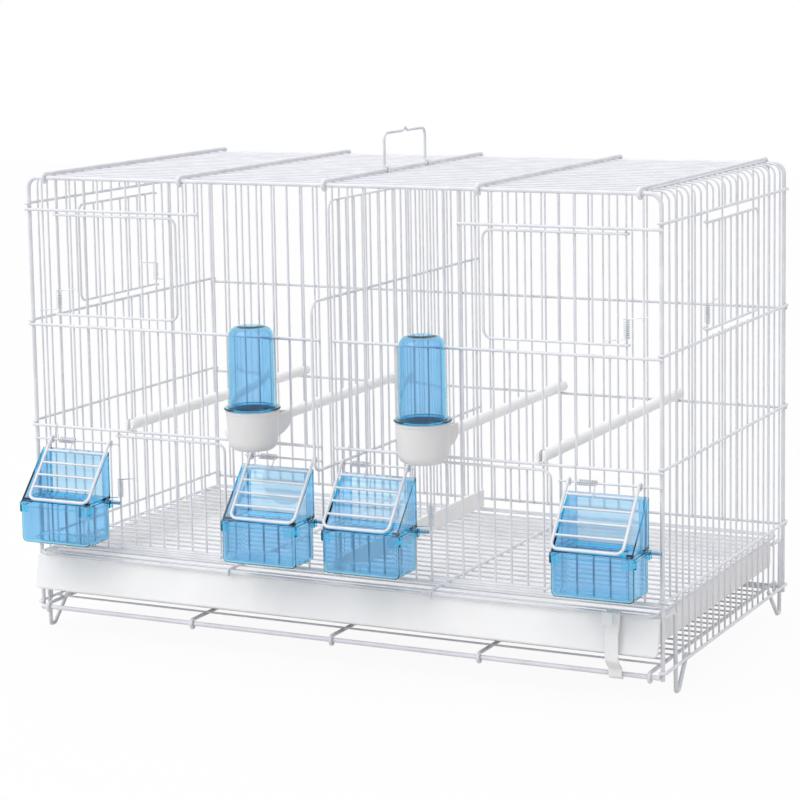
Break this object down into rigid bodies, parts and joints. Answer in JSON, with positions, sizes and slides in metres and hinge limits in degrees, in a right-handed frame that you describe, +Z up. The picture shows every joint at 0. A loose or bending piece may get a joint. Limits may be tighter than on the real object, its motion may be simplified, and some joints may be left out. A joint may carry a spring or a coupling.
{
  "type": "breeding cage",
  "caption": "Wire breeding cage for small birds with sprung doors, clip-on feeders and drinkers, perches, a sliding divider, floor grid, pull-out tray and carry handle.",
  "frame": {"origin": "on the ground under the middle of the cage, between the front and back panels", "axes": "+X along the front to the right as seen from in front, +Y from the front to the back, +Z up"},
  "size_m": [0.593, 0.3673, 0.4414],
  "materials": {
    "white_wire": "white powder coat",
    "spring_steel": "satin",
    "blue_plastic": "clear tinted",
    "white_plastic": "satin"
  },
  "bodies": {
    "cage": {"front_frame": "white_wire", "front_rails": "white_wire", "front_wires": "white_wire", "flap_hinge_wires": "white_wire", "back_frame": "white_wire", "back_rails": "white_wire", "back_wires": "white_wire", "right_side_rails": "white_wire", "left_side_rails": "white_wire", "right_side_wires": "white_wire", "left_side_wires": "white_wire", "roof_struts": "white_wire", "roof_wires": "white_wire", "base_rails": "white_wire", "base_struts": "white_wire", "base_wires": "white_wire", "feet": "white_wire", "upper_left_spring": "spring_steel", "upper_right_spring": "spring_steel", "lower_left_spring": "spring_steel", "lower_right_spring": "spring_steel", "right_side_spring": "spring_steel", "left_side_spring": "spring_steel", "flap_spring_1": "spring_steel", "flap_spring_2": "spring_steel", "flap_spring_3": "spring_steel", "flap_spring_4": "spring_steel"},
    "upper_left_door": {"upper_left_door": "white_wire"},
    "upper_right_door": {"upper_right_door": "white_wire"},
    "lower_left_door": {"lower_left_door": "white_wire"},
    "lower_right_door": {"lower_right_door": "white_wire"},
    "right_side_door": {"right_side_door": "white_wire"},
    "left_side_door": {"left_side_door": "white_wire"},
    "feeder_flap_1": {"feeder_flap_1": "white_wire"},
    "feeder_1": {"feeder_bin_1": "blue_plastic", "feeder_hood_1": "blue_plastic"},
    "feeder_flap_2": {"feeder_flap_2": "white_wire"},
    "feeder_2": {"feeder_bin_2": "blue_plastic", "feeder_hood_2": "blue_plastic"},
    "feeder_flap_3": {"feeder_flap_3": "white_wire"},
    "feeder_3": {"feeder_bin_3": "blue_plastic", "feeder_hood_3": "blue_plastic"},
    "feeder_flap_4": {"feeder_flap_4": "white_wire"},
    "feeder_4": {"feeder_bin_4": "blue_plastic", "feeder_hood_4": "blue_plastic"},
    "drinker_cup_1": {"drinker_cup_1": "white_plastic"},
    "drinker_tube_1": {"drinker_tube_1": "blue_plastic"},
    "drinker_cup_2": {"drinker_cup_2": "white_plastic"},
    "drinker_tube_2": {"drinker_tube_2": "blue_plastic"},
    "perch_1": {"perch_1": "white_plastic"},
    "perch_2": {"perch_2": "white_plastic"},
    "perch_3": {"perch_3": "white_plastic"},
    "perch_4": {"perch_4": "white_plastic"},
    "divider": {"divider_wires": "white_wire", "divider_pull": "white_wire", "divider_strip": "white_plastic"},
    "carry_handle": {"carry_handle": "white_wire"},
    "tray": {"tray": "white_plastic"},
    "floor_grid": {"floor_grid": "white_wire"},
    "tray_clip": {"tray_clip": "white_plastic"}
  },
  "joints": [
    {"name": "upper_left_door_hinge", "type": "hinge", "parent": "cage", "child": "upper_left_door", "pos_m": [-0.26362, -0.15425, 0.284], "axis": [0, 0, -1], "range_deg": [0, 110], "stiffness_Nm_per_rad": 0.01, "springref_deg": -28.65, "deforming": ["upper_left_spring"]},
    {"name": "upper_right_door_hinge", "type": "hinge", "parent": "cage", "child": "upper_right_door", "pos_m": [0.26362, -0.15425, 0.284], "axis": [0, 0, 1], "range_deg": [0, 110], "stiffness_Nm_per_rad": 0.01, "springref_deg": -28.65, "deforming": ["upper_right_spring"]},
    {"name": "lower_left_door_hinge", "type": "hinge", "parent": "cage", "child": "lower_left_door", "pos_m": [-0.20663, -0.15425, 0.084], "axis": [0, 0, -1], "range_deg": [0, 90], "stiffness_Nm_per_rad": 0.01, "springref_deg": -28.65, "deforming": ["lower_left_spring"]},
    {"name": "lower_right_door_hinge", "type": "hinge", "parent": "cage", "child": "lower_right_door", "pos_m": [0.09262, -0.15425, 0.084], "axis": [0, 0, -1], "range_deg": [0, 90], "stiffness_Nm_per_rad": 0.01, "springref_deg": -28.65, "deforming": ["lower_right_spring"]},
    {"name": "right_side_door_hinge", "type": "hinge", "parent": "cage", "child": "right_side_door", "pos_m": [0.29307, -0.0511, 0.284], "axis": [0, 0, -1], "range_deg": [0, 110], "stiffness_Nm_per_rad": 0.01, "springref_deg": -28.65, "deforming": ["right_side_spring"]},
    {"name": "left_side_door_hinge", "type": "hinge", "parent": "cage", "child": "left_side_door", "pos_m": [-0.29307, 0.0511, 0.284], "axis": [0, 0, -1], "range_deg": [0, 110], "stiffness_Nm_per_rad": 0.01, "springref_deg": -28.65, "deforming": ["left_side_spring"]},
    {"name": "feeder_flap_1_hinge", "type": "hinge", "parent": "cage", "child": "feeder_flap_1", "pos_m": [-0.2448, -0.15591, 0.173], "axis": [-1, 0, 0], "range_deg": [0, 100], "stiffness_Nm_per_rad": 0.008, "springref_deg": -34.38, "deforming": ["flap_spring_1"]},
    {"name": "feeder_1_slide", "type": "slide", "parent": "cage", "child": "feeder_1", "axis": [0, -0.6252, -0.7804], "range_m": [0, 0.012]},
    {"name": "feeder_flap_2_hinge", "type": "hinge", "parent": "cage", "child": "feeder_flap_2", "pos_m": [-0.0435, -0.15591, 0.173], "axis": [-1, 0, 0], "range_deg": [0, 55], "stiffness_Nm_per_rad": 0.008, "springref_deg": -34.38, "deforming": ["flap_spring_2"]},
    {"name": "feeder_2_slide", "type": "slide", "parent": "cage", "child": "feeder_2", "axis": [0, -0.6252, -0.7804], "range_m": [0, 0.012]},
    {"name": "feeder_flap_3_hinge", "type": "hinge", "parent": "cage", "child": "feeder_flap_3", "pos_m": [0.0435, -0.15591, 0.173], "axis": [-1, 0, 0], "range_deg": [0, 100], "stiffness_Nm_per_rad": 0.008, "springref_deg": -34.38, "deforming": ["flap_spring_3"]},
    {"name": "feeder_3_slide", "type": "slide", "parent": "cage", "child": "feeder_3", "axis": [0, -0.6252, -0.7804], "range_m": [0, 0.012]},
    {"name": "feeder_flap_4_hinge", "type": "hinge", "parent": "cage", "child": "feeder_flap_4", "pos_m": [0.2448, -0.15591, 0.173], "axis": [-1, 0, 0], "range_deg": [0, 100], "stiffness_Nm_per_rad": 0.008, "springref_deg": -34.38, "deforming": ["flap_spring_4"]},
    {"name": "feeder_4_slide", "type": "slide", "parent": "cage", "child": "feeder_4", "axis": [0, -0.6252, -0.7804], "range_m": [0, 0.012]},
    {"name": "drinker_cup_1_slide", "type": "slide", "parent": "cage", "child": "drinker_cup_1", "axis": [0, -1, 0], "range_m": [0, 0.06]},
    {"name": "drinker_tube_1_lift", "type": "slide", "parent": "drinker_cup_1", "child": "drinker_tube_1", "axis": [0, 0, 1], "range_m": [0, 0.09]},
    {"name": "drinker_cup_2_slide", "type": "slide", "parent": "cage", "child": "drinker_cup_2", "axis": [0, -1, 0], "range_m": [0, 0.06]},
    {"name": "drinker_tube_2_lift", "type": "slide", "parent": "drinker_cup_2", "child": "drinker_tube_2", "axis": [0, 0, 1], "range_m": [0, 0.09]},
    {"name": "perch_1_lift", "type": "slide", "parent": "cage", "child": "perch_1", "axis": [0, 0, 1], "range_m": [0, 0.06]},
    {"name": "perch_2_lift", "type": "slide", "parent": "cage", "child": "perch_2", "axis": [0, 0, 1], "range_m": [0, 0.06]},
    {"name": "perch_3_lift", "type": "slide", "parent": "cage", "child": "perch_3", "axis": [0, 0, 1], "range_m": [0, 0.06]},
    {"name": "perch_4_lift", "type": "slide", "parent": "cage", "child": "perch_4", "axis": [0, 0, 1], "range_m": [0, 0.06]},
    {"name": "divider_slide", "type": "slide", "parent": "cage", "child": "divider", "axis": [0, -1, 0], "range_m": [0, 0.28]},
    {"name": "handle_hinge", "type": "hinge", "parent": "cage", "child": "carry_handle", "pos_m": [0, 0, 0.40601], "axis": [0, 1, 0], "range_deg": [-84, 84]},
    {"name": "tray_slide", "type": "slide", "parent": "cage", "child": "tray", "axis": [0, -1, 0], "range_m": [0, 0.25]},
    {"name": "floor_grid_slide", "type": "slide", "parent": "tray", "child": "floor_grid", "axis": [0, -1, 0], "range_m": [0, 0.24]},
    {"name": "tray_clip_hinge", "type": "hinge", "parent": "floor_grid", "child": "tray_clip", "pos_m": [0.255, -0.162, 0.0715], "axis": [-1, 0, 0], "range_deg": [0, 90]}
  ]
}
